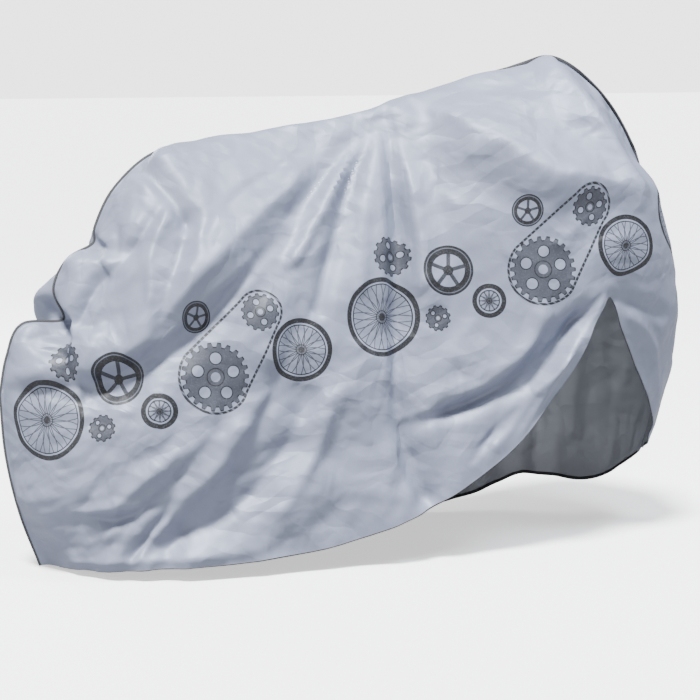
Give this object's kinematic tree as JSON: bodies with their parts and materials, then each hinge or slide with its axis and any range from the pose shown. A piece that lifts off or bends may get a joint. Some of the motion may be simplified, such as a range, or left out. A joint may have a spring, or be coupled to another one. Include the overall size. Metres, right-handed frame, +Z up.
{
  "type": "bicycle cover",
  "caption": "Fitted plastic film cover draped as over a bicycle: side panels sewn along an arched top, with a bound seam and taped hems.",
  "frame": {"origin": "underside of the top where a saddle holds the cover up", "axes": "+X towards the front of the bicycle, +Y to its left side, +Z up"},
  "size_m": [1.7686, 0.6039, 1.2193],
  "materials": {
    "silver_film": "satin silver-grey plastic film, finely creased",
    "black_tape": "matt black woven tape"
  },
  "bodies": {
    "root": {"panel_near": "silver_film", "panel_far": "silver_film", "seam_binding": "black_tape", "hem_tape_near": "black_tape", "hem_tape_far": "black_tape"}
  },
  "joints": []
}
